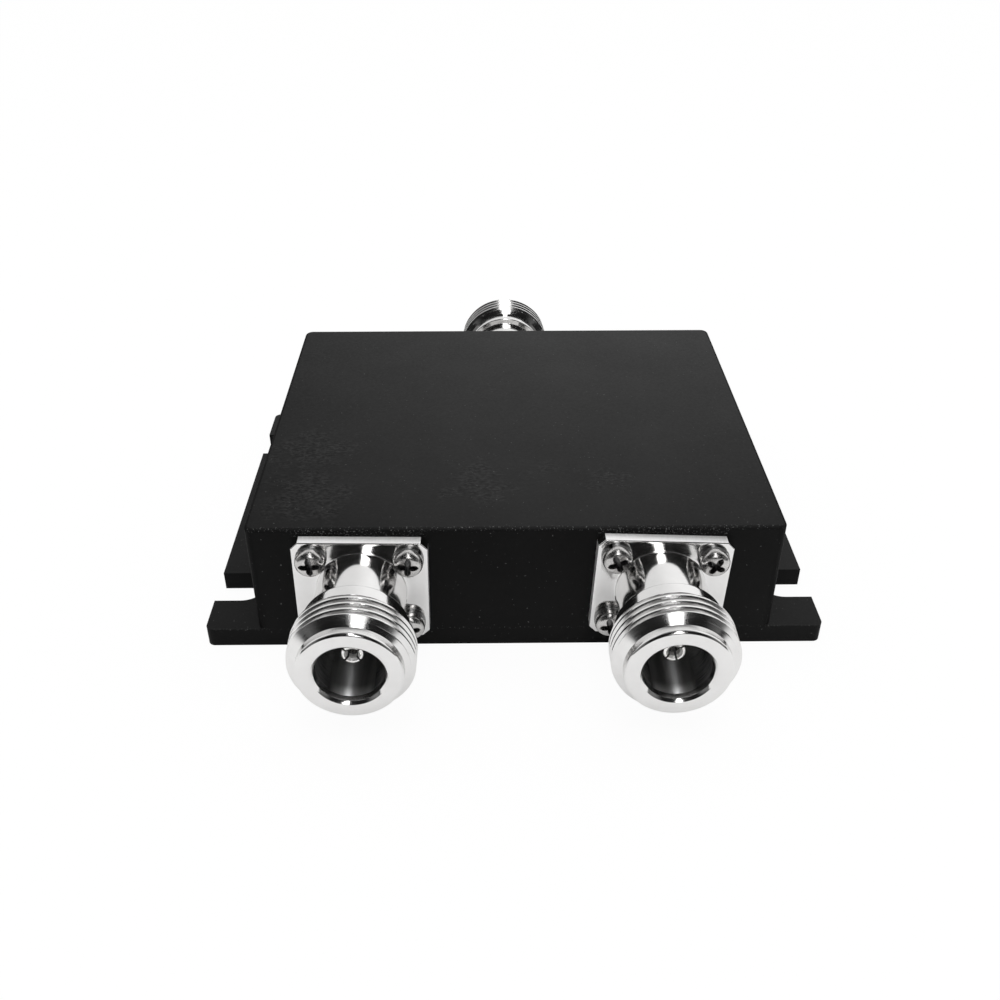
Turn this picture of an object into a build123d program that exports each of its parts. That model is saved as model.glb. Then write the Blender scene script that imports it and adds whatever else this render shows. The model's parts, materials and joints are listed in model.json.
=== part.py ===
from build123d import *
import os

# Two-way RF power splitter: a milled tray on a slotted base plate, with three flanged coaxial sockets
# Sizes are in millimetres, Z is up and the origin lies on the underside, at the middle of the footprint
# The two output ports face -Y and the input port faces +Y

# Housing, an inverted tray milled from one block
housing_w = 70.0
housing_d = 60.0
housing_h = 16.6
wall = 4.0
roof = 2.0
housing_corner_r = 1.25
top_edge_r = 0.5
corner_block = 5.6
pocket_r = 1.5

# Base plate with ears beyond the housing's sides
plate_t = 2.8
ear_w = 7.2
plate_corner_r = 1.0
slot_w = 6.3
slot_depth = 6.8
slot_front_inset = 9.4
slot_rear_inset = 10.6

# Cover screws, countersunk into the base plate's underside
cover_screw_r = 1.25
cover_head_r = 2.35
cover_screw_len = 8.0
cover_screw_inset = 5.5
cover_hole_gap = 0.15

# Where the ports sit on the faces, each turned a little within the play of its screw holes
output_inset = 15.45
port_row_x = -0.6
input_x = -0.2
output_axis_z = 10.75
input_axis_z = 10.55
output_left_turn = -0.8
output_right_turn = -2.2

# Socket shell: flange, neck, shoulder, threaded barrel and pilot ring, along the port's own axis
flange_w = 17.5
flange_h = 15.2
flange_t = 1.7
flange_chamfer = 0.9
neck_r = 5.9
neck_fillet = 0.2
shoulder_start = 9.1
shoulder_r = 6.85
thread_start = 12.0
thread_len = 3.8
thread_r = 7.85
thread_lead_in = 0.6
nose_start = 16.6
pilot_r = 6.55
nose_round = 0.4
port_reach = 17.9
bore_r = 4.1
mouth_r = 4.58
mouth_bevel = 0.3
mouth_lead = 0.7
web_t = 1.0

# Insulator and centre contact
insulator_r = 3.5
insulator_len = 9.0
stem_r = 2.05
stem_gap = 0.05
contact_r = 1.52
contact_shoulder = 2.2
contact_recess = 3.8
contact_gap = 0.02
pin_r = 0.635
pin_reach = 3.5
socket_r = 0.83
socket_depth = 5.0
socket_mouth = 0.2
tip_bevel = 0.18
slit_w = 0.3
slit_len = 4.0
slit_count = 2
slit_turn = 45.0

# Flange screws and their split washers
screw_pitch_x = 12.5
screw_pitch_z = 10.4
screw_r = 1.0
screw_reach = 3.0
screw_hole_spare = 0.4
screw_hole_gap = 0.2
head_r = 1.93
head_h = 1.5
crown_r = 2.4
recess_span = 2.6
recess_w = 0.55
recess_depth = 0.9
recess_taper = 14.0
washer_r = 2.0
washer_t = 0.5
washer_split = 0.45
washer_gap = 0.1

# Circuit board, hung from bosses under the roof with its copper side down
board_t = 1.5
board_gap = 0.3
copper_t = 0.1
solder_film = 0.15
board_boss_r = 2.4
boss_side_inset = 5.0
boss_end_inset = 12.0
board_screw_reach = 2.2
line_w = 2.2
arm_w = 1.2
ring_r = 6.0
arm_gap = 1.0
resistor_l = 2.4
resistor_w = 1.4
resistor_h = 0.6
solder_len = 2.6
solder_foot = 3.6
solder_waist = 2.4

# Heights and places that follow from the sizes above
housing_top = plate_t + housing_h
pocket_top = housing_top - roof
pocket_w = housing_w - 2 * wall
pocket_d = housing_d - 2 * wall
plate_w = housing_w + 2 * ear_w
output_pitch = housing_w - 2 * output_inset
copper_z = max(input_axis_z, output_axis_z) + pin_r + solder_film
board_z = copper_z + copper_t
board_top = board_z + board_t
thread_end = thread_start + thread_len
contact_tip = port_reach - contact_recess
head_seat = flange_t + washer_t
output_left_x = port_row_x - output_pitch / 2
output_right_x = port_row_x + output_pitch / 2


# A seat is where a port meets its face, with Y up and Z out of the face
def front_seat(x):
    return Plane((x, -housing_d / 2, output_axis_z), x_dir=(1, 0, 0), z_dir=(0, -1, 0)).location


def rear_seat(x):
    return Plane((x, housing_d / 2, input_axis_z), x_dir=(-1, 0, 0), z_dir=(0, 1, 0)).location


seats = {
    "output_left": front_seat(output_left_x),
    "output_right": front_seat(output_right_x),
    "input": rear_seat(input_x),
}
ports = {
    "output_left": seats["output_left"] * Rot(0, 0, output_left_turn),
    "output_right": seats["output_right"] * Rot(0, 0, output_right_turn),
    "input": seats["input"],
}
flange_screws = GridLocations(screw_pitch_x, screw_pitch_z, 2, 2)
cover_screws = GridLocations(housing_w - 2 * cover_screw_inset, housing_d - 2 * cover_screw_inset, 2, 2)
board_screws = GridLocations(pocket_w - 2 * boss_side_inset, pocket_d - 2 * boss_end_inset, 2, 2)


def turned(points):
    """A turned piece from its half section, given as radius and height."""
    return revolve(Plane.XZ * half_section(points), Axis.Z)


def half_section(points):
    return make_face(Polyline(*points, close=True))


def pocket_outline(inset):
    """The milled pocket's outline, with a block left in each corner for the cover screws."""
    block = corner_block + inset
    outline = Rectangle(pocket_w - 2 * inset, pocket_d - 2 * inset)
    for corner in GridLocations(pocket_w - 2 * inset - block, pocket_d - 2 * inset - block, 2, 2):
        outline -= corner * Rectangle(block, block)
    return fillet(outline.vertices(), pocket_r)


# Screws, shared by the ports and the board
def cross_recess(top):
    """A tapered cross cut down from the given height."""
    cross = Rectangle(recess_span, recess_w) + Rectangle(recess_w, recess_span)
    return extrude(Pos(0, 0, top) * cross, -recess_depth, taper=recess_taper)


def pan_screw(seat, reach):
    """A screw with a domed head that sits at the given height and a shank that reaches down past zero."""
    shank = Pos(0, 0, -reach) * extrude(Circle(screw_r), reach + seat)
    head = Pos(0, 0, seat) * extrude(Circle(head_r), head_h)
    head &= Pos(0, 0, seat + head_h - crown_r) * Sphere(crown_r)
    return shank + head - cross_recess(seat + head_h)


def countersunk_screw():
    """A flat head screw with its head's face at height zero, pointing up."""
    cone = cover_head_r - cover_screw_r
    screw = turned([
        (0, 0), (cover_head_r, 0), (cover_screw_r, cone), (cover_screw_r, cover_screw_len), (0, cover_screw_len),
    ])
    return screw - Rot(180, 0, 0) * cross_recess(0)


# Housing and base plate
def make_housing():
    block = extrude(RectangleRounded(housing_w, housing_d, housing_corner_r), housing_h)
    block = fillet(block.faces().sort_by(Axis.Z)[-1].edges(), top_edge_r)
    tray = Pos(0, 0, plate_t) * block
    tray -= Pos(0, 0, plate_t) * extrude(pocket_outline(0), housing_h - roof)
    boss_h = pocket_top - board_top
    for place in board_screws:
        tray += place * Pos(0, 0, board_top) * extrude(Circle(board_boss_r), boss_h)
        tray -= place * Pos(0, 0, board_top) * extrude(Circle(screw_r), board_screw_reach + screw_hole_spare)
    for place in cover_screws:
        depth = cover_screw_len - plate_t + screw_hole_spare
        tray -= place * Pos(0, 0, plate_t) * extrude(Circle(cover_screw_r), depth)
    for port in ports.values():
        tray -= port * extrude(Circle(stem_r + stem_gap), -wall)
        for place in flange_screws:
            tray -= port * place * extrude(Circle(screw_r), -(screw_reach + screw_hole_spare))
    return tray


def make_base_plate():
    outline = RectangleRounded(plate_w, housing_d, plate_corner_r)
    round_x = plate_w / 2 - slot_depth + slot_w / 2
    for side in (-1, 1):
        for slot_y in (slot_front_inset - housing_d / 2, housing_d / 2 - slot_rear_inset):
            outline -= Pos(side * round_x, slot_y) * Circle(slot_w / 2)
            outline -= Pos(side * (round_x + slot_depth / 2), slot_y) * Rectangle(slot_depth, slot_w)
    plate = extrude(outline, plate_t)
    cone_r = cover_head_r + cover_hole_gap
    shank_r = cover_screw_r + cover_hole_gap
    sink = turned([(0, 0), (cone_r, 0), (shank_r, cone_r - shank_r), (shank_r, plate_t), (0, plate_t)])
    for place in cover_screws:
        plate -= place * sink
    return plate


def make_base_plate_screws():
    seat_gap = cover_hole_gap / 2
    return [place * Pos(0, 0, seat_gap) * countersunk_screw() for place in cover_screws]


# Socket pieces, each in its port's own frame
def make_shell():
    lead_start = port_reach - mouth_bevel
    section = half_section([
        (stem_r + stem_gap, 0), (neck_r, 0), (neck_r, shoulder_start), (shoulder_r, shoulder_start),
        (shoulder_r, thread_start - thread_lead_in), (thread_r, thread_start), (thread_r, thread_end),
        (pilot_r, nose_start), (pilot_r, port_reach), (mouth_r, port_reach), (mouth_r - mouth_bevel, lead_start),
        (bore_r, lead_start - mouth_lead), (bore_r, insulator_len), (insulator_r, insulator_len),
        (insulator_r, web_t), (stem_r + stem_gap, web_t),
    ])
    nose = section.vertices().sort_by_distance((pilot_r, port_reach))[0]
    barrel = revolve(Plane.XZ * fillet(nose, nose_round), Axis.Z)
    outline = Rectangle(flange_w, flange_h)
    outline = chamfer(outline.vertices(), flange_chamfer)
    for place in flange_screws:
        outline -= place * Circle(screw_r + screw_hole_gap)
    shell = barrel + extrude(outline - Circle(neck_r), flange_t)
    at_flange_face = shell.edges().filter_by(GeomType.CIRCLE).filter_by_position(Axis.Z, flange_t, flange_t)
    return fillet(at_flange_face.sort_by(SortBy.RADIUS)[-1], neck_fillet)


def make_insulator():
    return turned([
        (pin_r + contact_gap, -wall), (stem_r, -wall), (stem_r, web_t), (insulator_r, web_t),
        (insulator_r, insulator_len), (contact_r + contact_gap, insulator_len),
        (contact_r + contact_gap, contact_shoulder), (pin_r + contact_gap, contact_shoulder),
    ])


def make_contact():
    contact = turned([
        (0, -wall - pin_reach), (pin_r, -wall - pin_reach), (pin_r, contact_shoulder), (contact_r, contact_shoulder),
        (contact_r, contact_tip - tip_bevel), (contact_r - tip_bevel, contact_tip),
        (socket_r + socket_mouth, contact_tip), (socket_r, contact_tip - socket_mouth),
        (socket_r, contact_tip - socket_depth), (0, contact_tip - socket_depth),
    ])
    slit = Pos(0, 0, contact_tip - slit_len) * extrude(Rectangle(slit_w, 4 * contact_r), slit_len)
    for turn in range(slit_count):
        contact -= Rot(0, 0, slit_turn + 180 * turn / slit_count) * slit
    return contact


def make_flange_screws():
    return [place * pan_screw(head_seat, screw_reach) for place in flange_screws]


def make_lock_washers():
    ring = extrude(Circle(washer_r) - Circle(screw_r + washer_gap), washer_t)
    split = Pos(washer_r, 0) * extrude(Rectangle(2 * washer_r, washer_split), washer_t)
    washer = Pos(0, 0, flange_t) * (ring - split)
    return [place * washer for place in flange_screws]


def make_solder_joint(axis_z):
    """Solder that fills the gap between the pin's upper half and the copper above it."""
    waist, foot, rise = solder_waist / 2, solder_foot / 2, copper_z - axis_z
    section = make_face(Polyline((-waist, 0), (waist, 0), (foot, rise), (-foot, rise), close=True))
    return Pos(0, 0, -wall - pin_reach) * extrude(section - Circle(pin_r), solder_len)


# Circuit board with the divider's pattern as raised copper on its lower side
def make_circuit_board():
    board = Pos(0, 0, board_z) * extrude(pocket_outline(board_gap), board_t)
    for place in board_screws:
        board -= place * Pos(0, 0, board_z) * extrude(Circle(screw_r + screw_hole_gap), board_t)
    return board + Pos(0, 0, copper_z) * extrude(copper_pattern(), copper_t)


def copper_pattern():
    """Input line, two pairs of curved arms and two output lines, as one joined outline."""
    edge_y = pocket_d / 2 - 2 * board_gap
    ring = Circle(ring_r + arm_w / 2) - Circle(ring_r - arm_w / 2)
    step = 2 * ring_r
    pattern = Pos(port_row_x, step / 2) * ring + Pos(port_row_x, -step / 2) * ring
    pattern -= Pos(port_row_x, -step) * Rectangle(arm_gap, 2 * step)
    input_y = step
    pattern += Pos(input_x, (edge_y + input_y) / 2) * Rectangle(line_w, edge_y - input_y)
    for side, x in ((-1, output_left_x), (1, output_right_x)):
        start = port_row_x + side * (arm_gap + line_w) / 2
        pattern += Pos((start + x) / 2, -step) * Rectangle(abs(x - start) + line_w, line_w)
        pattern += Pos(x, -(edge_y + step) / 2) * Rectangle(line_w, edge_y - step)
    return pattern


def make_isolation_resistors():
    chip = Pos(port_row_x, 0, copper_z - resistor_h) * extrude(Rectangle(resistor_l, resistor_w), resistor_h)
    return [Pos(0, y) * chip for y in (0, -2 * ring_r)]


def make_board_screws():
    screw = Rot(180, 0, 0) * pan_screw(0, board_screw_reach + board_t)
    return [place * Pos(0, 0, board_z) * screw for place in board_screws]


# Every sub-part by name, one solid or a group of separate solids each
def make_parts():
    parts = {
        "housing": [make_housing()],
        "base_plate": [make_base_plate()],
        "base_plate_screws": make_base_plate_screws(),
        "circuit_board": [make_circuit_board()],
        "isolation_resistors": make_isolation_resistors(),
        "board_screws": make_board_screws(),
    }
    port_pieces = {
        "shell": [make_shell()],
        "insulator": [make_insulator()],
        "contact": [make_contact()],
        "flange_screws": make_flange_screws(),
        "lock_washers": make_lock_washers(),
    }
    for port_name, port in ports.items():
        for piece_name, solids in port_pieces.items():
            parts[f"{port_name}_{piece_name}"] = [port * solid for solid in solids]
        seat = seats[port_name]
        parts[f"{port_name}_solder_joint"] = [seat * make_solder_joint(seat.position.Z)]
    return parts


os.makedirs("parts", exist_ok=True)
for name, solids in make_parts().items():
    export_step(solids[0] if len(solids) == 1 else Compound(children=solids), f"parts/{name}.step")
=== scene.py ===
import json
import math

import bpy
import numpy as np
from mathutils import Matrix, Vector


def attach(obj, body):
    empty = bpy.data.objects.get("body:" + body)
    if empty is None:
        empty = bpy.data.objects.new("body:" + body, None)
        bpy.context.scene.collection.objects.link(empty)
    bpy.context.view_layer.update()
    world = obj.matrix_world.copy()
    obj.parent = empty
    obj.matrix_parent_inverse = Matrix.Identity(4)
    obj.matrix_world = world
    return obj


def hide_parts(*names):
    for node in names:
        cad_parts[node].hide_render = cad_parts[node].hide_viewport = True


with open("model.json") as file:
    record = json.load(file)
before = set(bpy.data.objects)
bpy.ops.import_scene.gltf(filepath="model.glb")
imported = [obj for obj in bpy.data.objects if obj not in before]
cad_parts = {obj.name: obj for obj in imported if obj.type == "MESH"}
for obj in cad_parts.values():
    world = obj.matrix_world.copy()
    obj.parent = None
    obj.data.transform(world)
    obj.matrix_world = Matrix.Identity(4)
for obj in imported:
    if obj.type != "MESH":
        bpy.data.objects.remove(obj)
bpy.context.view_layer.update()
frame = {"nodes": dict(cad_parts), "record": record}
MM = 0.001
PORTS = ("output_left", "output_right", "input")

# Sizes that the fine pieces share with the solids, in millimetres
OUTPUT_X = {"output_left": -20.15, "output_right": 18.95}
INPUT_X = -0.2
OUTPUT_Z, INPUT_Z = 10.75, 10.55
FACE_Y, SIDE_X, TOP_Z, PLATE_T = 30.0, 35.0, 19.4, 2.8
TURN = {"output_left": -0.8, "output_right": -2.2, "input": 0.0}
FLANGE_W, FLANGE_H, FLANGE_T, FLANGE_CUT = 17.5, 15.2, 1.7, 0.9
NECK_R, NECK_FILLET = 5.9, 0.2
SHOULDER_START, SHOULDER_R = 9.1, 6.85
THREAD_START, THREAD_END, THREAD_R, LEAD_IN = 12.0, 15.8, 7.85, 0.6
NOSE_START, PILOT_R, NOSE_ROUND, REACH = 16.6, 6.55, 0.4, 17.9
MOUTH_R, MOUTH_BEVEL, MOUTH_LEAD, BORE_R = 4.58, 0.3, 0.7, 4.1
INSULATOR_LEN, INSULATOR_R, WEB_T, HOLE_R = 9.0, 3.5, 1.0, 2.1
SCREW_PITCH = (12.5, 10.4)
HEAD_R, HEAD_H, HEAD_ROUND, SHANK_R, SCREW_REACH = 1.93, 1.5, 0.85, 1.0, 3.0
WASHER_R, WASHER_T, WASHER_HOLE, WASHER_SPLIT = 2.0, 0.5, 1.1, 0.45
CONTACT_R, CONTACT_TIP, SOCKET_R, SLIT_W, SLIT_LEN = 1.52, 14.1, 0.72, 0.26, 4.0
CONTACT_FOOT, PIN_R, PIN_END, SOCKET_DEPTH = 2.2, 0.635, -7.5, 5.0

# Sizes that only the fine pieces have, in millimetres
PITCH, THREAD_PHASE = 1.058, 12.87
GROOVE_HALF, GROOVE_DEPTH, FLANK = 0.4, 0.62, math.radians(28)
ROW_STEP = 0.03
FLANGE_ROUND, STEP_ROUND, RIM_ROUND, WASHER_ROUND = 0.14, 0.15, 0.08, 0.1
CROWN_SLOPE = math.radians(15)
RECESS_HUB, RECESS_DEPTH, RECESS_SLOPE = 0.55, 1.05, 0.14
LOBE_AT, LOBE_LONG, LOBE_WIDE = 0.7, 0.62, 0.4
RECESS_REACH, RECESS_BELOW = 1.4, 0.3
TIP_INSIDE = 1.0

# How the small pieces of each port are turned, in degrees
SCREW_TURNS = {"output_left": (4, -3, 20, 6), "output_right": (25, -30, 12, 40), "input": (10, 55, -20, 35)}
WASHER_TURNS = {
    "output_left": (150, 40, 200, -60), "output_right": (120, 30, 210, -40), "input": (70, 160, -30, 240),
}
SLITS = {
    "output_left": (46, 140, 220, 321), "output_right": (48, 112, 221, 290), "input": (30, 120, 210, 300),
}

# How finely the round pieces are divided
FLANGE_STEPS = (60, 8, 68, 8, 60, 8, 68, 8)
SCREW_AROUND, WASHER_STEPS, CONTACT_AROUND, FINGER_STEPS = 112, 72, 96, 25

# Patches of rougher paint on the housing's top: middle and reach in millimetres
ROUGH_PATCHES = (
    (-28.5, -10.0, 7.5), (-27.5, -22.0, 8.0), (-5.0, -19.0, 6.5), (4.0, -16.0, 3.5), (12.5, -18.0, 4.5),
)
PATCH_EDGE = 5.0
# The paint's tone, and the pale dusting with painted sheen on what faces up, follow x and y scaled by the
# first number, and x no further out than the second
TOP_SCALE, TOP_REACH = 0.0333, 1.15

# Floor: half its side and its height in metres, and how much of its white glows, seen directly or mirrored
FLOOR_HALF, FLOOR_Z = 4.0, -0.00002
FLOOR_GLOW, MIRRORED_GLOW = 0.95, 0.25
# Brightness of the dark table and of the dark room in front
DARK = 0.012

# Camera, fitted to the edges of the housing, plate and sockets: pixels, degrees and millimetres
PHOTO_W, FOCAL, CENTRE_X, SENSOR_W = 1000, 1058.85, 494.72, 36
CAMERA_YAW, CAMERA_DOWN, CAMERA_ROLL = 0.553, 33.787, -0.0426
CAMERA_PLACE = (-3.80, -140.4, 97.65)


def make_camera():
    yaw, pitch, roll = (math.radians(turn) for turn in (CAMERA_YAW, CAMERA_DOWN, CAMERA_ROLL))
    forward = Vector((math.sin(yaw) * math.cos(pitch), math.cos(yaw) * math.cos(pitch), -math.sin(pitch)))
    right = Vector((math.cos(yaw), -math.sin(yaw), 0))
    up = right.cross(forward)
    side = right * math.cos(roll) + up * math.sin(roll)
    top = up * math.cos(roll) - right * math.sin(roll)
    data = bpy.data.cameras.new("camera")
    data.sensor_fit = "HORIZONTAL"
    data.sensor_width = SENSOR_W
    data.lens = SENSOR_W * FOCAL / PHOTO_W
    data.shift_x = (PHOTO_W / 2 - CENTRE_X) / PHOTO_W
    data.clip_start = 0.01
    data.clip_end = 50
    camera = bpy.data.objects.new("camera", data)
    turn = Matrix((side, top, -forward)).transposed().to_4x4()
    camera.matrix_world = Matrix.Translation(Vector(CAMERA_PLACE) * MM) @ turn
    bpy.context.scene.collection.objects.link(camera)
    bpy.context.scene.camera = camera


class Nodes:
    """Short names for the nodes of one tree. An input is a number, a colour or another node's output."""

    def __init__(self, tree):
        self.tree = tree
        tree.nodes.clear()

    def add(self, kind, inputs=None, **props):
        node = self.tree.nodes.new(kind)
        for key, value in props.items():
            setattr(node, key, value)
        for key, value in (inputs or {}).items():
            self.put(node, key, value)
        return node

    def put(self, node, key, value):
        if isinstance(value, bpy.types.NodeSocket):
            self.tree.links.new(value, node.inputs[key])
        else:
            node.inputs[key].default_value = value

    def math(self, op, a, b=0.0, c=0.0):
        return self.add("ShaderNodeMath", {0: a, 1: b, 2: c}, operation=op).outputs[0]

    def plus(self, a, b):
        return self.math("ADD", a, b)

    def minus(self, a, b):
        return self.math("SUBTRACT", a, b)

    def times(self, *values):
        made = values[0]
        for value in values[1:]:
            made = self.math("MULTIPLY", made, value)
        return made

    def scaled(self, a, factor, shift):
        return self.math("MULTIPLY_ADD", a, factor, shift)

    def most(self, *values):
        made = values[0]
        for value in values[1:]:
            made = self.math("MAXIMUM", made, value)
        return made

    def absolute(self, a):
        return self.math("ABSOLUTE", a)

    def ramp(self, value, start, end, low=0.0, high=1.0):
        inputs = {"Value": value, "From Min": start, "From Max": end, "To Min": low, "To Max": high}
        return self.add("ShaderNodeMapRange", inputs, interpolation_type="SMOOTHSTEP").outputs["Result"]

    def noise(self, vector, scale, detail=3.0, rough=0.55):
        inputs = {"Vector": vector, "Scale": scale, "Detail": detail, "Roughness": rough}
        return self.add("ShaderNodeTexNoise", inputs).outputs["Fac"]

    def mix(self, factor, a, b):
        return self.add("ShaderNodeMix", {"Factor": factor, 6: a, 7: b}, data_type="RGBA").outputs[2]

    def millimetres(self):
        place = self.add("ShaderNodeTexCoord").outputs["Object"]
        return self.add("ShaderNodeVectorMath", {0: place, "Scale": 1000.0}, operation="SCALE").outputs[0]

    def stretched(self, vector, scale):
        return self.add("ShaderNodeMapping", {"Vector": vector, "Scale": scale}).outputs[0]

    def split(self, vector):
        return self.add("ShaderNodeSeparateXYZ", {0: vector}).outputs

    def joined(self, x, y, z):
        return self.add("ShaderNodeCombineXYZ", {0: x, 1: y, 2: z}).outputs[0]

    def bump(self, height, strength, distance, normal=None):
        made = self.add("ShaderNodeBump", {"Height": height, "Strength": strength, "Distance": distance * MM})
        if normal:
            self.put(made, "Normal", normal)
        return made.outputs[0]


def new_material(name):
    material = bpy.data.materials.new(name)
    material.use_nodes = True
    nodes = Nodes(material.node_tree)
    shader = nodes.add("ShaderNodeBsdfPrincipled")
    nodes.add("ShaderNodeOutputMaterial", {"Surface": shader.outputs[0]})
    return material, nodes, shader


def grey(value, warm=0.0):
    return (value * (1 + warm), value, value * (1 - warm), 1.0)


# Black paint. Its marks are placed in millimetres in the part's own frame
def rough_patches(n, place, x, y):
    """Where the spray lies rougher: round patches with ragged edges."""
    ragged = n.scaled(n.noise(place, 0.35, 3.0, 0.6), 14.0, -7.0)
    patch = 0.0
    for px, py, reach in ROUGH_PATCHES:
        squares = [n.math("POWER", n.minus(*pair), 2.0) for pair in ((x, px), (y, py))]
        away = n.plus(n.math("SQRT", n.plus(*squares)), ragged)
        patch = n.most(patch, n.ramp(away, reach, reach - PATCH_EDGE))
    return patch


def pale_marks_and_glints(n, place, x, y, z):
    """Pale crumb marks along the front edges and over the flanges, partly painted glints of the paint's nubs,
    lint on the front face, and specks everywhere.
    """
    front, flange_top, half_flange = -FACE_Y, OUTPUT_Z + FLANGE_H / 2, FLANGE_W / 2
    row_x = (OUTPUT_X["output_left"] + OUTPUT_X["output_right"]) / 2
    half_pitch = (OUTPUT_X["output_right"] - OUTPUT_X["output_left"]) / 2
    specks = n.ramp(n.noise(place, 3.1, 1.0, 0.4), 0.745, 0.79)
    crumb = n.noise(place, 4.6, 2.0, 0.6)
    top_edge = n.times(n.ramp(y, front + 0.7, front + 0.4), n.ramp(z, TOP_Z - 0.5, TOP_Z - 0.3))
    plate_edge = n.times(n.ramp(z, PLATE_T - 0.2, PLATE_T - 0.05), n.ramp(z, PLATE_T + 0.3, PLATE_T + 0.15))
    plate_edge = n.times(plate_edge, n.ramp(y, front + 0.25, front + 0.05))
    beside = n.absolute(n.minus(n.absolute(n.minus(x, row_x)), half_pitch))
    over_flange = n.ramp(beside, half_flange + 0.25, half_flange - 0.75)
    over_flange = n.times(over_flange, n.ramp(y, front + 0.1, front + 0.05))
    over_flange = n.times(over_flange, n.ramp(z, flange_top - 0.25, flange_top - 0.05))
    edge_crumbs_and_glints = n.times(n.most(top_edge, plate_edge), n.ramp(crumb, 0.6, 0.7))
    crumbs_and_glints = n.most(edge_crumbs_and_glints, n.times(over_flange, n.ramp(crumb, 0.56, 0.66)))
    lint = n.ramp(n.noise(place, 2.0, 1.0, 0.4), 0.73, 0.77)
    lint = n.times(lint, n.ramp(y, front + 0.1, front + 0.03))
    return n.most(n.times(crumbs_and_glints, 0.75), n.times(lint, 0.5), n.times(specks, 0.35))


def dust_and_painted_sheen(n, place, u, v, z, cloud, patch):
    """How much paler what faces up is painted: partly a dusting, partly painted sheen, as a smooth change
    over the top and more on the plate's top, with flecks in the patches.
    """
    normal = n.add("ShaderNodeTexCoord").outputs["Normal"]
    upward = n.ramp(n.split(normal)[2], 0.35, 0.92)
    # Paler towards the rear and just right of the middle: painted sheen over the top, with a dusting
    dust_and_sheen = n.scaled(u, n.scaled(u, -0.27, 0.2), 0.88)
    dust_and_sheen = n.plus(dust_and_sheen, n.times(v, n.scaled(u, 0.17, 0.41)))
    dust_and_sheen = n.plus(dust_and_sheen, n.ramp(z, PLATE_T + 0.2, PLATE_T - 0.1, 0.0, 0.27))
    fleck = n.noise(n.stretched(place, (0.55, 1.0, 1.0)), 2.9, 3.0, 0.7)
    flecks = n.times(patch, n.ramp(fleck, 0.36, 0.68, -0.5, 1.9))
    dust_and_sheen = n.plus(n.times(dust_and_sheen, n.scaled(cloud, 0.5, 0.75)), n.times(flecks, 0.5))
    return n.times(upward, dust_and_sheen, 0.1)


def dull_corners(n, x, y, z):
    """The housing's upright corners and, twice as strong, the side edges of its top."""
    x, y = n.absolute(x), n.absolute(y)
    upright = n.times(n.ramp(x, SIDE_X - 1.4, SIDE_X - 0.8), n.ramp(y, FACE_Y - 1.4, FACE_Y - 0.8))
    upright = n.times(upright, n.ramp(z, PLATE_T, PLATE_T + 0.1), n.ramp(z, TOP_Z - 0.2, TOP_Z - 0.4))
    brink = n.times(n.ramp(x, SIDE_X - 0.55, SIDE_X - 0.35), n.ramp(z, TOP_Z - 0.6, TOP_Z - 0.45))
    return n.most(upright, n.times(brink, 2.0))


def black_paint():
    """Dark sprayed finish with a fine grain, rough patches, a pale dusting with painted sheen on top, and
    pale marks with painted glints along its edges.
    """
    material, n, shader = new_material("black_paint")
    place = n.millimetres()
    x, y, z = n.split(place)[:3]
    cloud = n.noise(place, 0.09, 2.0)
    grain = n.noise(place, 2.6, 4.0, 0.62)
    fine = n.noise(place, 7.0, 3.0, 0.6)
    pits = n.ramp(n.noise(place, 1.5, 2.0), 0.63, 0.72)
    patch = rough_patches(n, place, x, y)
    corner = dull_corners(n, x, y, z)
    u = n.math("MINIMUM", n.most(n.times(x, TOP_SCALE), -TOP_REACH), TOP_REACH)
    v = n.times(y, TOP_SCALE)
    base = n.mix(n.scaled(u, 0.35, cloud), grey(0.0066), grey(0.0096))
    # Paler on what faces up: partly a dusting, partly painted sheen
    dust_and_sheen_colour = n.mix(dust_and_painted_sheen(n, place, u, v, z, cloud, patch), base, grey(0.15))
    # Pale crumb marks along the edges, partly painted glints of the paint's nubs
    n.put(shader, "Base Color", n.mix(pale_marks_and_glints(n, place, x, y, z), dust_and_sheen_colour, grey(0.15)))
    rough = n.plus(n.ramp(grain, 0.3, 0.7, 0.44, 0.56), n.times(patch, 0.04))
    n.put(shader, "Roughness", n.scaled(corner, 0.15, rough))
    n.put(shader, "Specular IOR Level", n.scaled(corner, -0.015, 0.05))
    relief = n.plus(n.times(grain, n.scaled(patch, 0.9, 0.12)), n.times(pits, 0.3))
    n.put(shader, "Normal", n.bump(fine, 0.35, 0.012, n.bump(relief, 0.55, 0.05)))
    return material


# Plating of the sockets, in each socket's own frame
def turned_marks(n, shader, strength):
    """Stretch the reflections across marks that run round the axis."""
    n.put(shader, "Anisotropic", strength)
    n.put(shader, "Anisotropic Rotation", 0.25)
    n.put(shader, "Tangent", n.add("ShaderNodeTangent", direction_type="RADIAL", axis="Z").outputs[0])


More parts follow.
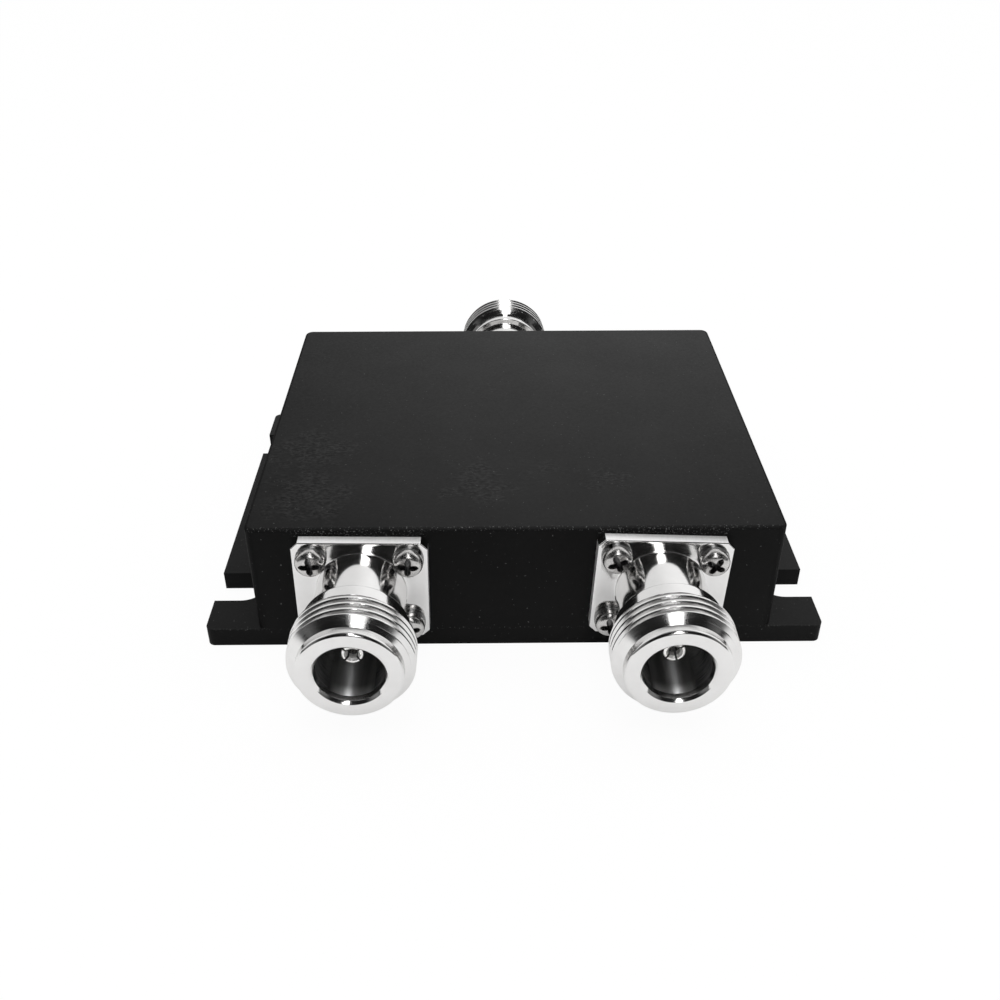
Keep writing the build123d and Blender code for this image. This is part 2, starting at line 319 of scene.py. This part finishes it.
def nickel():
    """Bright plated brass with faint turning marks about the socket's own axis, duller on the thread."""
    material, n, shader = new_material("nickel")
    place = n.millimetres()
    x, y, z = n.split(place)[:3]
    radius = n.math("SQRT", n.plus(n.times(x, x), n.times(y, y)))
    marks = n.noise(n.joined(radius, z, 0.0), 9.0, 4.0, 0.7)
    cloud = n.noise(place, 0.45, 3.0)
    stain = n.noise(place, 2.2, 4.0, 0.6)
    tone = n.mix(cloud, grey(0.7, 0.01), grey(0.8, 0.006))
    n.put(shader, "Base Color", n.mix(n.ramp(stain, 0.66, 0.8), tone, grey(0.55, 0.03)))
    n.put(shader, "Metallic", 1.0)
    threads = n.times(n.ramp(z, THREAD_START - LEAD_IN, THREAD_START), n.ramp(z, NOSE_START, THREAD_END))
    cut = n.scaled(threads, 0.08, n.times(n.ramp(z, THREAD_END, NOSE_START), 0.03))
    rough = n.scaled(cloud, 0.03, n.ramp(marks, 0.3, 0.7, 0.06, 0.12))
    n.put(shader, "Roughness", n.plus(rough, cut))
    turned_marks(n, shader, 0.5)
    n.put(shader, "Normal", n.bump(marks, 0.2, 0.003))
    return material


def bore_nickel_painted_light():
    """The deep bore: duller plating with a darker colour that is painted shade, coarse turning marks, and a
    pale track along its lower side near the mouth that is a painted reflection.
    """
    material, n, shader = new_material("nickel_bore_painted_light")
    x, y, z = n.split(n.millimetres())[:3]
    around = n.math("ARCTAN2", y, x)
    streaks = n.noise(n.joined(n.times(around, 5.0), n.times(z, 0.12), 0.0), 1.0, 3.0)
    marks = n.noise(n.joined(n.times(z, 8.0), 0.0, 0.0), 1.0, 3.0)
    track = n.ramp(y, -3.0, -3.8)
    # Painted reflection: the lower side near the mouth is painted pale
    painted_streak = n.times(track, n.ramp(z, 15.0, 17.0))
    # The dark grey tone is painted shade deep in the bore
    tone = n.mix(n.ramp(streaks, 0.35, 0.7), grey(0.24), grey(0.31))
    n.put(shader, "Base Color", n.mix(painted_streak, tone, grey(0.95)))
    n.put(shader, "Metallic", 1.0)
    n.put(shader, "Roughness", n.scaled(track, 0.24, n.ramp(marks, 0.3, 0.7, 0.24, 0.3)))
    turned_marks(n, shader, 1.0)
    n.put(shader, "Normal", n.bump(marks, 0.2, 0.004))
    return material


def sawn_nickel_painted_highlight():
    """The flange's cut edges, plated over a sawn surface, so dull; their pale, partly diffuse colour is a
    painted highlight.
    """
    material, n, shader = new_material("nickel_edge")
    saw = n.noise(n.stretched(n.millimetres(), (1.0, 1.0, 0.15)), 5.0, 4.0, 0.65)
    # Near-white, partly diffuse colour on the flange's long sides: painted highlight
    n.put(shader, "Base Color", n.mix(n.ramp(saw, 0.3, 0.75), grey(0.9, 0.005), grey(0.99, 0.004)))
    n.put(shader, "Metallic", 0.6)
    n.put(shader, "Roughness", n.ramp(saw, 0.3, 0.7, 0.38, 0.5))
    n.put(shader, "Normal", n.bump(saw, 0.3, 0.01))
    return material


# Materials of the small pieces
def plain_material(name, colour, rough, scale, depth, shade, finer, spread):
    """One colour in two shades, with a finer grain in its gloss and relief."""
    material, n, shader = new_material(name)
    place = n.millimetres()
    cloud = n.noise(place, scale, 3.0)
    fine = n.noise(place, scale * finer, 3.0, 0.6)
    darker = tuple(v * shade for v in colour) + (1.0,)
    n.put(shader, "Base Color", n.mix(n.ramp(cloud, 0.3, 0.7), darker, colour + (1.0,)))
    n.put(shader, "Roughness", n.ramp(fine, 0.3, 0.7, rough * spread[0], rough * spread[1]))
    n.put(shader, "Normal", n.bump(fine, 0.3, depth))
    return material, n, shader


def simple_metal(name, colour, rough, scale, depth, metallic=1.0):
    material, n, shader = plain_material(name, colour, rough, scale, depth, 0.82, 7, (0.8, 1.25))
    n.put(shader, "Metallic", metallic)
    return material


def simple_solid(name, colour, rough, level, scale, depth):
    material, n, shader = plain_material(name, colour, rough, scale, depth, 0.88, 8, (0.85, 1.15))
    n.put(shader, "Specular IOR Level", level)
    return material


# Mesh helpers: points are in millimetres in a port's own frame, Z out of the face
def port_matrix(port):
    x = OUTPUT_X.get(port, INPUT_X)
    if port == "input":
        seat = Matrix(((-1, 0, 0), (0, 0, 1), (0, 1, 0))).to_4x4()
        place = Vector((x, FACE_Y, INPUT_Z))
    else:
        seat = Matrix(((1, 0, 0), (0, 0, -1), (0, 1, 0))).to_4x4()
        place = Vector((x, -FACE_Y, OUTPUT_Z))
    return Matrix.Translation(place * MM) @ seat @ Matrix.Rotation(math.radians(TURN[port]), 4, "Z")


def add_mesh(name, points, faces, port, materials, nodes, sharp=28):
    mesh = bpy.data.meshes.new(name)
    mesh.from_pydata((np.concatenate(points) * MM).tolist(), [], faces)
    mesh.validate()
    mesh.shade_smooth()
    mesh.set_sharp_from_angle(angle=math.radians(sharp))
    for material in materials:
        mesh.materials.append(material)
    piece = bpy.data.objects.new(name, mesh)
    piece.matrix_world = port_matrix(port)
    bpy.context.scene.collection.objects.link(piece)
    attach(piece, "root")
    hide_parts(*nodes)
    return piece


def loft_faces(rings, around, base=0, closed=False, flipped=False):
    """Quads between neighbouring rings of points, joined end to end or capped at both ends."""
    faces = []
    for i in range(rings if closed else rings - 1):
        a, b = base + i * around, base + (i + 1) % rings * around
        for j in range(around):
            k = (j + 1) % around
            faces.append((a + k, a + j, b + j, b + k) if flipped else (a + j, a + k, b + k, b + j))
    if not closed:
        first = tuple(range(base, base + around))
        last = tuple(range(base + (rings - 1) * around, base + rings * around))
        faces += [first, last[::-1]] if flipped else [first[::-1], last]
    return faces


def even_angles(around):
    return np.linspace(0, 2 * math.pi, around, endpoint=False)


def round_ring(radius, along, angle):
    """Points round the axis. Radius and place along it are one number, or one per angle."""
    radius = radius * np.ones(len(angle))
    return np.stack([radius * np.cos(angle), radius * np.sin(angle), along * np.ones(len(angle))], -1)


def arc(cr, ca, radius, start, end, steps):
    """Points of a rounded edge: radius from the axis and place along it."""
    turns = np.radians(np.linspace(start, end, steps))
    return [(cr + radius * math.cos(t), ca + radius * math.sin(t)) for t in turns]


# Socket shell, one closed ring with a helical thread cut into its barrel
def flange_outline():
    hw, hh, c = FLANGE_W / 2, FLANGE_H / 2, FLANGE_CUT
    corners = [
        (hw, -hh + c), (hw, hh - c), (hw - c, hh), (-hw + c, hh),
        (-hw, hh - c), (-hw, -hh + c), (-hw + c, -hh), (hw - c, -hh),
    ]
    points = []
    for i, count in enumerate(FLANGE_STEPS):
        a, b = np.array(corners[i]), np.array(corners[(i + 1) % len(corners)])
        points += [a + (b - a) * k / count for k in range(count)]
    return np.array(points)


def flange_rings(outline, angle):
    """The flange's rear face, rounded edges and side, and its front face up to the neck's fillet."""
    reach = np.hypot(outline[:, 0], outline[:, 1])

    def plate_ring(inset, along):
        scale = 1 - inset / reach
        return np.stack([outline[:, 0] * scale, outline[:, 1] * scale, np.full(len(angle), along)], -1)

    rings = [round_ring(HOLE_R, 0.0, angle)]
    for t in np.radians((0, 30, 60, 90)):
        rings.append(plate_ring(FLANGE_ROUND * (1 - math.sin(t)), FLANGE_ROUND * (1 - math.cos(t))))
    side = len(rings) - 1
    for t in np.radians((0, 22, 45, 67, 90)):
        along = FLANGE_T - FLANGE_ROUND * (1 - math.sin(t))
        rings.append(plate_ring(FLANGE_ROUND * (1 - math.cos(t)), along))
    outer, hub = rings[-1], round_ring(NECK_R + NECK_FILLET, FLANGE_T, angle)
    rings += [outer * (1 - k) + hub * k for k in (0.2, 0.4, 0.6, 0.8)]
    return rings, side


def neck_profile():
    """Radius and place along the axis, from the flange to the foot of the thread."""
    profile = arc(NECK_R + NECK_FILLET, FLANGE_T + NECK_FILLET, NECK_FILLET, 270, 180, 6)
    profile += [(NECK_R, a) for a in np.linspace(FLANGE_T + 0.6, SHOULDER_START - 0.3, 6)]
    profile += arc(NECK_R + STEP_ROUND, SHOULDER_START - STEP_ROUND, STEP_ROUND, 180, 90, 5)
    profile += arc(SHOULDER_R - STEP_ROUND, SHOULDER_START + STEP_ROUND, STEP_ROUND, 270, 360, 6)
    profile += [(SHOULDER_R, a) for a in np.linspace(SHOULDER_START + 0.4, THREAD_START - LEAD_IN - 0.06, 4)]
    return profile


def thread_radius(along, angle):
    """The barrel's radius where a V-shaped groove winds round it, right-handed."""
    places = [THREAD_START - LEAD_IN, THREAD_START, THREAD_END, NOSE_START]
    body = np.interp(along, places, [SHOULDER_R, THREAD_R, THREAD_R, PILOT_R])
    away = (along - THREAD_PHASE - PITCH * angle / (2 * math.pi)) / PITCH
    away = np.abs(away - np.round(away)) * PITCH
    depth = np.clip((GROOVE_HALF - away) / math.tan(FLANK), 0, GROOVE_DEPTH)
    return np.maximum(np.minimum(body, THREAD_R - depth), min(SHOULDER_R, PILOT_R))


def thread_rows(angle):
    """Places along the barrel, one column per angle, moved so that each crease gets its own points."""
    first = THREAD_START - LEAD_IN - ROW_STEP
    rows = np.arange(first, NOSE_START + ROW_STEP / 2, ROW_STEP)[:, None] * np.ones(len(angle))
    foot = GROOVE_HALF - GROOVE_DEPTH * math.tan(FLANK)
    for k in range(-4, 6):
        for crease in (-GROOVE_HALF, -foot, foot, GROOVE_HALF):
            place = THREAD_PHASE + PITCH * (angle / (2 * math.pi) + k) + crease
            index = np.round((place - first) / ROW_STEP).astype(int)
            for column in np.where((index > 0) & (index < len(rows) - 1))[0]:
                rows[index[column], column] = place[column]
    return rows


def nose_profile():
    """From the thread's end over the nose's rim and the bevel of the mouth."""
    inner = REACH - MOUTH_BEVEL
    profile = [(PILOT_R, NOSE_START + 0.06), (PILOT_R, REACH - NOSE_ROUND - 0.1)]
    profile += arc(PILOT_R - NOSE_ROUND, REACH - NOSE_ROUND, NOSE_ROUND, 0, 90, 9)
    profile += arc(MOUTH_R + RIM_ROUND, REACH - RIM_ROUND, RIM_ROUND, 90, 150, 4)
    profile += [(MOUTH_R - 0.06, REACH - 0.1), (MOUTH_R - MOUTH_BEVEL, inner)]
    return profile + [(MOUTH_R - MOUTH_BEVEL - 0.02, inner - 0.04)]


def bore_profile():
    """From the foot of the mouth's lead-in down the bore to the hole in the web."""
    foot = REACH - MOUTH_BEVEL - MOUTH_LEAD
    return [
        (BORE_R + 0.01, foot), (BORE_R, foot - 0.05), (BORE_R, 15.0), (BORE_R, 12.0), (BORE_R, INSULATOR_LEN),
        (INSULATOR_R, INSULATOR_LEN), (INSULATOR_R, WEB_T), (HOLE_R, WEB_T),
    ]


def make_shell(port, materials):
    """The materials are, in order, for the turned faces, the flange's long sides and the bore."""
    outline = flange_outline()
    angle = np.arctan2(outline[:, 1], outline[:, 0])
    around = len(angle)
    rings, side = flange_rings(outline, angle)
    rings += [round_ring(r, a, angle) for r, a in neck_profile()]
    rings += [round_ring(thread_radius(row, angle), row, angle) for row in thread_rows(angle)]
    rings += [round_ring(r, a, angle) for r, a in nose_profile()]
    bore = len(rings)
    rings += [round_ring(r, a, angle) for r, a in bore_profile()]
    faces = loft_faces(len(rings), around, closed=True)
    shell = add_mesh(f"{port}_shell_fine", rings, faces, port, materials, [f"{port}_shell"])
    for face in shell.data.polygons[side * around:(side + 1) * around]:
        if max(abs(face.normal.x), abs(face.normal.y)) > 0.9:
            face.material_index = 1
    for face in shell.data.polygons[bore * around:]:
        face.material_index = 2


# Flange screws: domed heads with a cross recess
def recess_depth(x, y, turn):
    u = x * math.cos(turn) + y * math.sin(turn)
    v = y * math.cos(turn) - x * math.sin(turn)
    inside = RECESS_HUB - np.hypot(u, v)
    for along, across in ((u, v), (v, u)):
        lobe = 1 - np.hypot((np.abs(along) - LOBE_AT) / LOBE_LONG, across / LOBE_WIDE)
        inside = np.maximum(inside, 0.5 * lobe)
    return RECESS_DEPTH * np.clip(inside / RECESS_SLOPE, 0, 1) ** 0.8


def screw_rings(turn, seat):
    """A shank and a head: side, rounded edge, then a flatter crown that carries the recess."""
    angle = even_angles(SCREW_AROUND)
    hub = HEAD_R - HEAD_ROUND
    crown_edge = hub + HEAD_ROUND * math.sin(CROWN_SLOPE)
    crown_r = crown_edge / math.sin(CROWN_SLOPE)
    side = seat + HEAD_H - crown_r * (1 - math.cos(CROWN_SLOPE)) - HEAD_ROUND * math.cos(CROWN_SLOPE)
    body = [
        (SHANK_R, -SCREW_REACH), (SHANK_R, seat), (HEAD_R - RIM_ROUND, seat), (HEAD_R, seat + RIM_ROUND),
        (HEAD_R, side),
    ]
    rings = [round_ring(r, a, angle) for r, a in body]
    round_part = [hub + HEAD_ROUND * math.sin(t) for t in np.linspace(math.pi / 2, CROWN_SLOPE, 12)[1:]]
    for radius in np.concatenate([round_part, np.linspace(crown_edge, 0.02, 38)[1:]]):
        if radius > crown_edge - 1e-6:
            crown = side + math.sqrt(max(0.0, HEAD_ROUND ** 2 - (radius - hub) ** 2))
        else:
            crown = seat + HEAD_H - crown_r + math.sqrt(crown_r ** 2 - radius ** 2)
        x, y = radius * np.cos(angle), radius * np.sin(angle)
        rings.append(round_ring(radius, crown - recess_depth(x, y, turn), angle))
    return rings


def screw_places():
    return [(sx * SCREW_PITCH[0] / 2, sy * SCREW_PITCH[1] / 2) for sy in (1, -1) for sx in (-1, 1)]


def make_screws(port, materials):
    """The second material, a darker steel, is painted shade in the recess."""
    points, faces = [], []
    seat = FLANGE_T + WASHER_T
    for (x, y), turn in zip(screw_places(), SCREW_TURNS[port]):
        rings = screw_rings(math.radians(turn), seat)
        faces += loft_faces(len(rings), SCREW_AROUND, len(points) * SCREW_AROUND)
        points += [ring + np.array([x, y, 0]) for ring in rings]
    name = f"{port}_flange_screws"
    screws = add_mesh(name + "_fine", points, faces, port, materials, [name], 32)
    deep = seat + HEAD_H - RECESS_BELOW
    for face in screws.data.polygons:
        middle = face.center / MM
        away = min(math.hypot(middle.x - x, middle.y - y) for x, y in screw_places())
        if away < RECESS_REACH and seat < middle.z < deep - 0.15 * away:
            face.material_index = 1


def make_washers(port, material):
    points, faces = [], []
    half = math.asin(WASHER_SPLIT / 2 / (WASHER_R - 0.3))
    outer, inner = WASHER_R - WASHER_ROUND, WASHER_HOLE + WASHER_ROUND
    lower, upper = WASHER_ROUND, WASHER_T - WASHER_ROUND
    section = []
    for r, a, start in ((outer, upper, 0), (inner, upper, 90), (inner, lower, 180), (outer, lower, 270)):
        section += arc(r, a, WASHER_ROUND, start, start + 90, 4)
    for (x, y), turn in zip(screw_places(), WASHER_TURNS[port]):
        angles = np.linspace(half, 2 * math.pi - half, WASHER_STEPS) + math.radians(turn)
        faces += loft_faces(WASHER_STEPS, len(section), len(points) * len(section))
        for t in angles:
            points.append([(x + r * math.cos(t), y + r * math.sin(t), FLANGE_T + a) for r, a in section])
    name = f"{port}_lock_washers"
    add_mesh(name + "_fine", points, faces, port, [material], [name])


# Centre contact: a pin whose front end is a socket split into four fingers
def make_contact(port, materials):
    """Each finger's profile goes up the socket's wall, in the second material, whose pale, partly diffuse
    colour is painted light, and over a crowned rim.
    """
    tip, foot, bottom = CONTACT_TIP, CONTACT_TIP - SLIT_LEN, CONTACT_TIP - SOCKET_DEPTH
    angle = even_angles(CONTACT_AROUND)
    body = [
        (0.01, PIN_END), (PIN_R - 0.15, PIN_END), (PIN_R, PIN_END + 0.15), (PIN_R, CONTACT_FOOT),
        (CONTACT_R, CONTACT_FOOT), (CONTACT_R, foot), (SOCKET_R, foot), (SOCKET_R, bottom), (0.01, bottom),
    ]
    points = [round_ring(r, a, angle) for r, a in body]
    faces = loft_faces(len(body), CONTACT_AROUND)
    base = len(body) * CONTACT_AROUND
    profile = [(SOCKET_R, foot), (SOCKET_R, tip - TIP_INSIDE), (SOCKET_R, tip - 0.29), (0.99, tip - 0.06)]
    profile += arc(1.19, tip - 0.53, 0.53, 110, 70, 7)
    profile += [(1.43, tip - 0.08), (1.46, tip - 0.2), (CONTACT_R, tip - 0.8), (CONTACT_R, foot)]
    slits = np.radians(SLITS[port] + (SLITS[port][0] + 360,))
    for first, last in zip(slits[:-1], slits[1:]):
        for i in range(FINGER_STEPS):
            for r, a in profile:
                half = math.asin(SLIT_W / 2 / r)
                t = first + half + (last - first - 2 * half) * i / (FINGER_STEPS - 1)
                points.append([(r * math.cos(t), r * math.sin(t), a)])
        faces += loft_faces(FINGER_STEPS, len(profile), base, flipped=True)
        base += FINGER_STEPS * len(profile)
    name = f"{port}_contact"
    contact = add_mesh(name + "_fine", points, faces, port, materials, [name], 35)
    for face in contact.data.polygons:
        middle = face.center / MM
        # The socket's inner wall takes the second material: painted light
        if tip - TIP_INSIDE < middle.z < tip - 0.06 and math.hypot(middle.x, middle.y) < 1.0:
            face.material_index = 1


# White paper near the object and a dark table beyond it, which the camera sees as white too
def make_floor():
    mesh = bpy.data.meshes.new("floor")
    corners = [(x * FLOOR_HALF, y * FLOOR_HALF, FLOOR_Z) for x, y in ((-1, -1), (1, -1), (1, 1), (-1, 1))]
    mesh.from_pydata(corners, [], [(0, 1, 2, 3)])
    floor = bpy.data.objects.new("floor", mesh)
    bpy.context.scene.collection.objects.link(floor)
    material = bpy.data.materials.new("floor")
    material.use_nodes = True
    n = Nodes(material.node_tree)
    place = n.millimetres()
    x, y = n.split(place)[:2]
    beyond = n.minus(n.absolute(x), n.scaled(y, 0.5, 115.0))
    table = n.most(n.ramp(beyond, 0.0, 120.0), n.ramp(y, -100.0, -200.0))
    paper = n.mix(n.noise(place, 0.02, 2.0), grey(0.93), grey(0.97))
    matt = n.add("ShaderNodeBsdfDiffuse", {"Color": n.mix(table, paper, grey(0.02))})
    path = n.add("ShaderNodeLightPath").outputs
    seen = path["Is Camera Ray"]
    glow = n.mix(n.minus(table, seen), grey(1.0), grey(DARK))
    white = n.add("ShaderNodeEmission", {"Color": glow, "Strength": 1.0})
    mirrored = n.times(n.most(path["Is Glossy Ray"], path["Is Transmission Ray"]), MIRRORED_GLOW)
    share = n.most(n.times(seen, n.most(table, FLOOR_GLOW)), mirrored)
    shader = n.add("ShaderNodeMixShader", {0: share, 1: matt.outputs[0], 2: white.outputs[0]})
    n.add("ShaderNodeOutputMaterial", {"Surface": shader.outputs[0]})
    mesh.materials.append(material)


# A white wall behind and white ground, grey sides and a dark room in front; the camera sees white
def make_world():
    world = bpy.data.worlds.new("studio")
    world.use_nodes = True
    bpy.context.scene.world = world
    n = Nodes(world.node_tree)
    x, y, z = n.split(n.add("ShaderNodeTexCoord").outputs["Generated"])[:3]
    low = n.ramp(z, 0.86, 0.7)
    back = n.times(n.ramp(y, -0.03, 0.12), n.scaled(low, 0.75, 0.25), n.ramp(x, -0.3, 0.35, 0.9, 1.14))
    ground = n.ramp(z, 0.0, -0.02)
    side = n.times(n.ramp(n.absolute(x), 0.5, 0.9, 0.0, 0.2), n.ramp(z, 0.6, 0.3))
    path = n.add("ShaderNodeLightPath").outputs
    value = n.most(back, ground, side, DARK, path["Is Camera Ray"])
    background = n.add("ShaderNodeBackground", {"Color": n.joined(value, value, value), "Strength": 1.0})
    n.add("ShaderNodeOutputWorld", {"Surface": background.outputs[0]})


def area_lamp(name, place, size, radiance, aim, glossy=True):
    data = bpy.data.lights.new(name, "AREA")
    data.shape = "RECTANGLE"
    data.size, data.size_y = size
    data.energy = radiance * math.pi * size[0] * size[1]
    lamp = bpy.data.objects.new(name, data)
    place, aim = Vector(place), Vector(aim)
    turn = (aim - place).to_track_quat("-Z", "Y").to_matrix().to_4x4()
    lamp.matrix_world = Matrix.Translation(place) @ turn
    lamp.visible_camera = False
    lamp.visible_glossy = glossy
    bpy.context.scene.collection.objects.link(lamp)


# Two narrow lamps that the metal mirrors as white stripes, and a wide one that only fills, in metres
def make_lamps():
    area_lamp("panel", (0.1, -1.2, 1.365), (0.33, 1.83), 3.7, (0.1, 0.0, 1.365))
    area_lamp("strip", (0.1, -0.45, 2.3), (0.33, 1.5), 3.7, (0.1, -0.45, 0.0))
    area_lamp("fill", (0.0, -0.1, 1.6), (2.2, 2.2), 1.5, (0.0, 0.0, 0.0), glossy=False)


def paint_nodes(materials):
    for name, node in frame["nodes"].items():
        slot = next(s["material_slot"] for s in frame["record"]["subparts"] if s["node"] == name)
        node.data.materials.clear()
        node.data.materials.append(materials[slot])


def main():
    bpy.context.scene.view_settings.view_transform = "Standard"
    make_camera()
    materials = {
        "black_paint": black_paint(),
        "nickel": nickel(),
        "steel": simple_metal("steel", (0.6, 0.59, 0.58), 0.24, 1.2, 0.01),
        "contact": simple_metal("contact", (0.93, 0.92, 0.9), 0.2, 1.5, 0.004),
        "insulator": simple_solid("insulator", (0.83, 0.83, 0.81), 0.45, 0.4, 0.6, 0.006),
        "board": simple_solid("board", (0.05, 0.17, 0.08), 0.4, 0.5, 0.4, 0.01),
        "resistor": simple_solid("resistor", (0.04, 0.04, 0.045), 0.5, 0.4, 1.5, 0.008),
        "solder": simple_metal("solder", (0.6, 0.6, 0.58), 0.3, 0.9, 0.02),
    }
    # The lock washers' dark grey is painted shade under the screw heads
    shaded_washer = simple_metal("washer_steel_painted_shade", (0.3, 0.3, 0.3), 0.3, 1.4, 0.008)
    # A darker steel for the cross recess: painted shade
    recess = simple_metal("recess_steel_painted_shade", (0.2, 0.2, 0.2), 0.3, 1.8, 0.01)
    # Pale, partly diffuse colour for the inside of the contact's socket: painted light that makes it look lit
    socket = simple_metal("socket_wall_painted_light", (0.92, 0.91, 0.89), 0.36, 2.0, 0.006, 0.35)
    shell = [materials["nickel"], sawn_nickel_painted_highlight(), bore_nickel_painted_light()]
    paint_nodes(materials)
    for port in PORTS:
        make_shell(port, shell)
        make_screws(port, [materials["steel"], recess])
        make_washers(port, shaded_washer)
        make_contact(port, [materials["contact"], socket])
    make_floor()
    make_world()
    make_lamps()


main()
